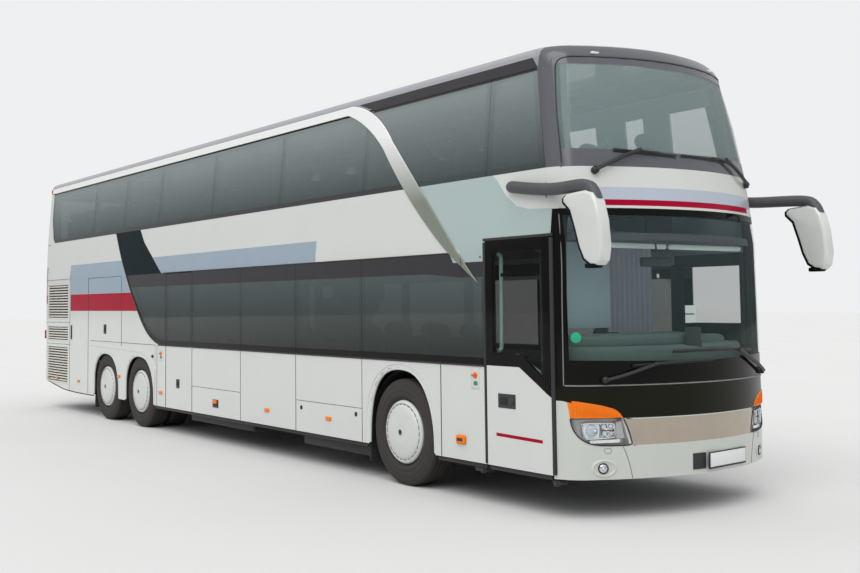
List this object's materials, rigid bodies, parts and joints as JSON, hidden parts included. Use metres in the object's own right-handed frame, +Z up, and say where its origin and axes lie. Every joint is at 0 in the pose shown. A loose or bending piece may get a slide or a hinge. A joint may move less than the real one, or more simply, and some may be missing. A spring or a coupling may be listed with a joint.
{
  "type": "double-deck touring coach",
  "caption": "Three-axle double-deck touring coach with hollow saloons, steered front wheels, outward-swinging doors, lifting flaps and a rear engine lid.",
  "frame": {"origin": "on the road, under the middle of the coach's length (mirrors included) and of its width", "axes": "+X forward, +Y to the coach's left, +Z up"},
  "size_m": [14.2, 2.95, 3.9972],
  "materials": {
    "white_paint": "gloss",
    "grey_paint": "satin",
    "side_glass": "tinted",
    "screen_glass": "clear",
    "black_plastic": "satin",
    "polished_trim": "polished",
    "lamp_glass": "clear",
    "amber_lens": "lens",
    "red_lens": "lens",
    "dark_metal": "matt",
    "cast_metal": "rough",
    "seat_fabric": "woven",
    "wheel_grip": "grained",
    "tyre_rubber": "matt",
    "wheel_paint": "gloss"
  },
  "bodies": {
    "body": {"lower_panels": "white_paint", "window_band": "white_paint", "lower_glass": "side_glass", "upper_sides": "white_paint", "upper_glass": "side_glass", "roof": "grey_paint", "front_bumper": "white_paint", "front_panel": "black_plastic", "nose_trim": "polished_trim", "headlamps": "lamp_glass", "indicators": "amber_lens", "nose_frame": "white_paint", "windscreen_lower": "screen_glass", "windscreen_upper": "screen_glass", "rear_wall": "white_paint", "rear_window": "side_glass", "rear_bumper": "white_paint", "tail_lamps": "red_lens", "side_grilles": "black_plastic", "silver_sweeps": "polished_trim", "lower_floor": "dark_metal", "upper_floor": "dark_metal", "hold_floor": "dark_metal", "bulkheads_and_wheel_houses": "dark_metal", "door_bearings": "dark_metal", "engine": "cast_metal", "stairs": "dark_metal", "seats": "seat_fabric", "dashboard": "black_plastic", "mirror_arms": "black_plastic", "mirrors": "white_paint", "front_axle": "cast_metal", "drive_axle": "cast_metal", "tag_axle": "cast_metal"},
    "steering_wheel": {"steering_wheel": "wheel_grip"},
    "knuckle_right": {"knuckle_right": "cast_metal"},
    "knuckle_left": {"knuckle_left": "cast_metal"},
    "front_wheel_right": {"front_tyre_right": "tyre_rubber", "front_rim_right": "wheel_paint"},
    "front_wheel_left": {"front_tyre_left": "tyre_rubber", "front_rim_left": "wheel_paint"},
    "drive_wheels_right": {"drive_tyre_right": "tyre_rubber", "drive_rim_right": "wheel_paint"},
    "drive_wheels_left": {"drive_tyre_left": "tyre_rubber", "drive_rim_left": "wheel_paint"},
    "tag_wheel_right": {"tag_tyre_right": "tyre_rubber", "tag_rim_right": "wheel_paint"},
    "tag_wheel_left": {"tag_tyre_left": "tyre_rubber", "tag_rim_left": "wheel_paint"},
    "luggage_door_right": {"luggage_door_right": "white_paint"},
    "luggage_door_left": {"luggage_door_left": "white_paint"},
    "service_flap_rear": {"service_flap_rear": "white_paint"},
    "service_flap_front": {"service_flap_front": "white_paint"},
    "engine_lid": {"engine_lid": "white_paint"},
    "front_door_arm": {"front_door_arm": "dark_metal"},
    "front_door": {"front_door": "white_paint", "front_door_glass": "side_glass"},
    "middle_door_arm": {"middle_door_arm": "dark_metal"},
    "middle_door": {"middle_door": "white_paint", "middle_door_glass": "side_glass"}
  },
  "joints": [
    {"name": "steer_right", "type": "hinge", "parent": "body", "child": "knuckle_right", "pos_m": [4.165, -1, 0.518], "axis": [0, 0, 1], "range_deg": [-45, 45]},
    {"name": "front_spin_right", "type": "hinge", "parent": "knuckle_right", "child": "front_wheel_right", "pos_m": [4.165, -1.1075, 0.518], "axis": [0, 1, 0], "continuous": true},
    {"name": "drive_spin_right", "type": "hinge", "parent": "body", "child": "drive_wheels_right", "pos_m": [-2.475, -1.1075, 0.518], "axis": [0, 1, 0], "continuous": true},
    {"name": "tag_spin_right", "type": "hinge", "parent": "body", "child": "tag_wheel_right", "pos_m": [-3.825, -1.1075, 0.518], "axis": [0, 1, 0], "continuous": true},
    {"name": "steer_left", "type": "hinge", "parent": "body", "child": "knuckle_left", "pos_m": [4.165, 1, 0.518], "axis": [0, 0, 1], "range_deg": [-45, 45]},
    {"name": "front_spin_left", "type": "hinge", "parent": "knuckle_left", "child": "front_wheel_left", "pos_m": [4.165, 1.1075, 0.518], "axis": [0, 1, 0], "continuous": true},
    {"name": "drive_spin_left", "type": "hinge", "parent": "body", "child": "drive_wheels_left", "pos_m": [-2.475, 1.1075, 0.518], "axis": [0, 1, 0], "continuous": true},
    {"name": "tag_spin_left", "type": "hinge", "parent": "body", "child": "tag_wheel_left", "pos_m": [-3.825, 1.1075, 0.518], "axis": [0, 1, 0], "continuous": true},
    {"name": "steering_wheel_turn", "type": "hinge", "parent": "body", "child": "steering_wheel", "pos_m": [5.84, 0.64, 1.26], "axis": [-0.5736, 0, 0.8192], "range_deg": [-900, 900]},
    {"name": "luggage_door_right_lift", "type": "hinge", "parent": "body", "child": "luggage_door_right", "pos_m": [-3.925, -1.275, 2.224], "axis": [-1, 0, 0], "range_deg": [0, 85]},
    {"name": "luggage_door_left_lift", "type": "hinge", "parent": "body", "child": "luggage_door_left", "pos_m": [-3.925, 1.275, 2.224], "axis": [1, 0, 0], "range_deg": [0, 85]},
    {"name": "service_flap_rear_lift", "type": "hinge", "parent": "body", "child": "service_flap_rear", "pos_m": [0.055, -1.275, 0.694], "axis": [-1, 0, 0], "range_deg": [0, 85]},
    {"name": "service_flap_front_lift", "type": "hinge", "parent": "body", "child": "service_flap_front", "pos_m": [2.7965, -1.275, 0.694], "axis": [-1, 0, 0], "range_deg": [0, 85]},
    {"name": "engine_lid_lift", "type": "hinge", "parent": "body", "child": "engine_lid", "pos_m": [-6.888, 0, 1.754], "axis": [0, 1, 0], "range_deg": [0, 75]},
    {"name": "front_door_swing", "type": "hinge", "parent": "body", "child": "front_door_arm", "pos_m": [6.11, -1.18, 1.3], "axis": [0, 0, 1], "range_deg": [0, 125]},
    {"name": "front_door_carry", "type": "hinge", "parent": "front_door_arm", "child": "front_door", "pos_m": [5.66, -1.18, 1.3], "axis": [0, 0, 1], "range_deg": [-125, 0]},
    {"name": "middle_door_swing", "type": "hinge", "parent": "body", "child": "middle_door_arm", "pos_m": [-1.315, -1.18, 1.3], "axis": [0, 0, -1], "range_deg": [0, 125]},
    {"name": "middle_door_carry", "type": "hinge", "parent": "middle_door_arm", "child": "middle_door", "pos_m": [-0.865, -1.18, 1.3], "axis": [0, 0, -1], "range_deg": [-125, 0]}
  ],
  "couplings": [
    {"joint": "steer_right", "follows": "steer_left", "ratio": 1},
    {"joint": "steering_wheel_turn", "follows": "steer_left", "ratio": 20},
    {"joint": "front_door_carry", "follows": "front_door_swing", "ratio": -1},
    {"joint": "middle_door_carry", "follows": "middle_door_swing", "ratio": -1}
  ]
}
